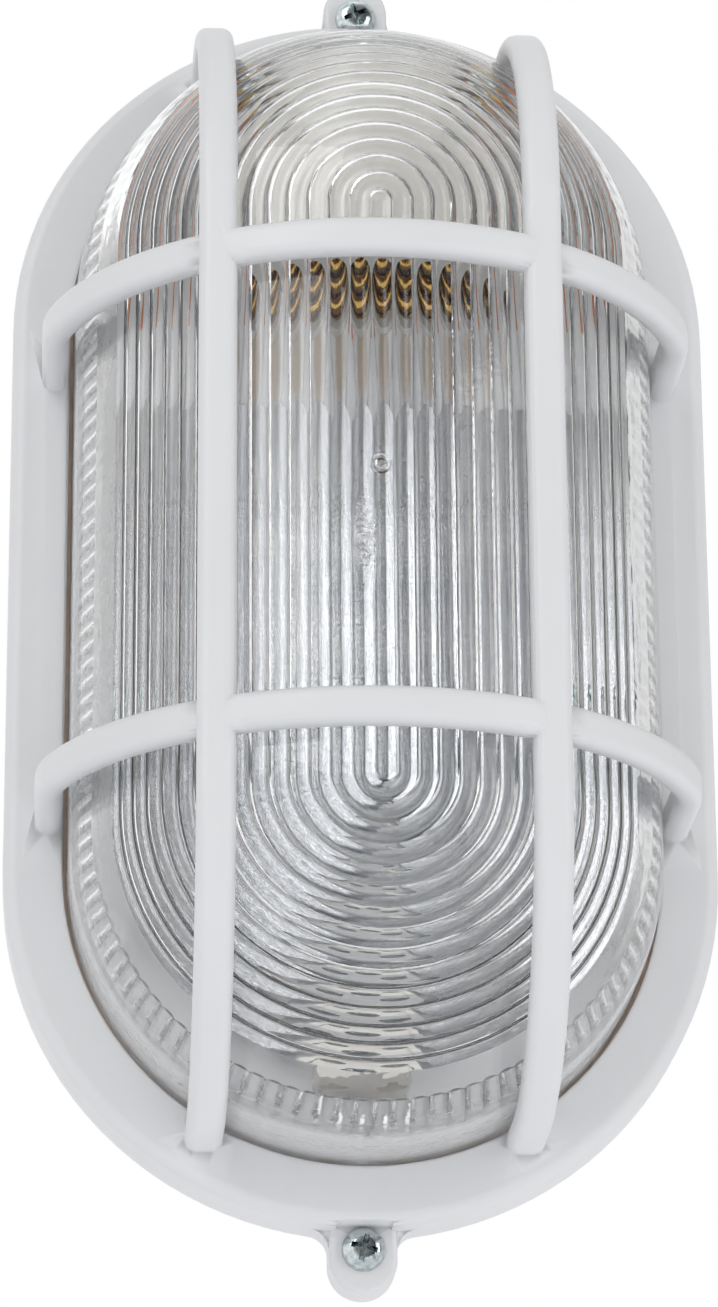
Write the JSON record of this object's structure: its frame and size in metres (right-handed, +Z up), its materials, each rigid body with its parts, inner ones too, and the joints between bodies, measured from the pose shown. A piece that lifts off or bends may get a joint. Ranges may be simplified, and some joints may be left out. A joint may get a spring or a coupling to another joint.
{
  "type": "wall light",
  "caption": "Oval bulkhead wall light: ribbed glass dome held to a shallow base by a one-piece white guard whose bars arch over it.",
  "frame": {"origin": "centre of the flat back face, on the wall plane", "axes": "+X to the viewer's right, +Y into the wall, +Z up; the lamp cap end is at the top"},
  "size_m": [0.115, 0.0711, 0.2284],
  "materials": {
    "white_plastic": "satin white moulding",
    "clear_glass": "clear pressed glass, ribbed inside",
    "seal_rubber": "brown sponge rubber",
    "bright_aluminium": "bright hammered sheet",
    "porcelain": "cream glaze",
    "brass_strip": "bright pressed brass",
    "plated_steel": "zinc-plated sheet",
    "zinc_steel": "bright zinc-plated screw",
    "beige_plastic": "beige moulding",
    "black_rubber": "black rubber",
    "brown_sleeve": "orange-brown heat sleeve"
  },
  "bodies": {
    "root": {"base_housing": "white_plastic", "guard_frame": "white_plastic", "glass_lens": "clear_glass", "lens_seal": "seal_rubber", "reflector": "bright_aluminium", "reflector_screw_left": "zinc_steel", "reflector_screw_right": "zinc_steel", "lampholder_body": "porcelain", "lampholder_shell": "brass_strip", "centre_contact": "brass_strip", "lampholder_bracket": "plated_steel", "lampholder_screw_front": "zinc_steel", "lampholder_screw_rear": "zinc_steel", "bracket_screw_left": "zinc_steel", "bracket_screw_right": "zinc_steel", "holder_terminal_left": "brass_strip", "holder_terminal_right": "brass_strip", "holder_terminal_screws": "zinc_steel", "terminal_block": "beige_plastic", "terminal_tube_left": "brass_strip", "terminal_tube_right": "brass_strip", "terminal_screws": "zinc_steel", "terminal_fixing_screw": "zinc_steel", "cable_grommet": "black_rubber", "lead_left": "brown_sleeve", "lead_right": "brown_sleeve", "cover_screw_top": "zinc_steel", "cover_screw_bottom": "zinc_steel"}
  },
  "joints": []
}
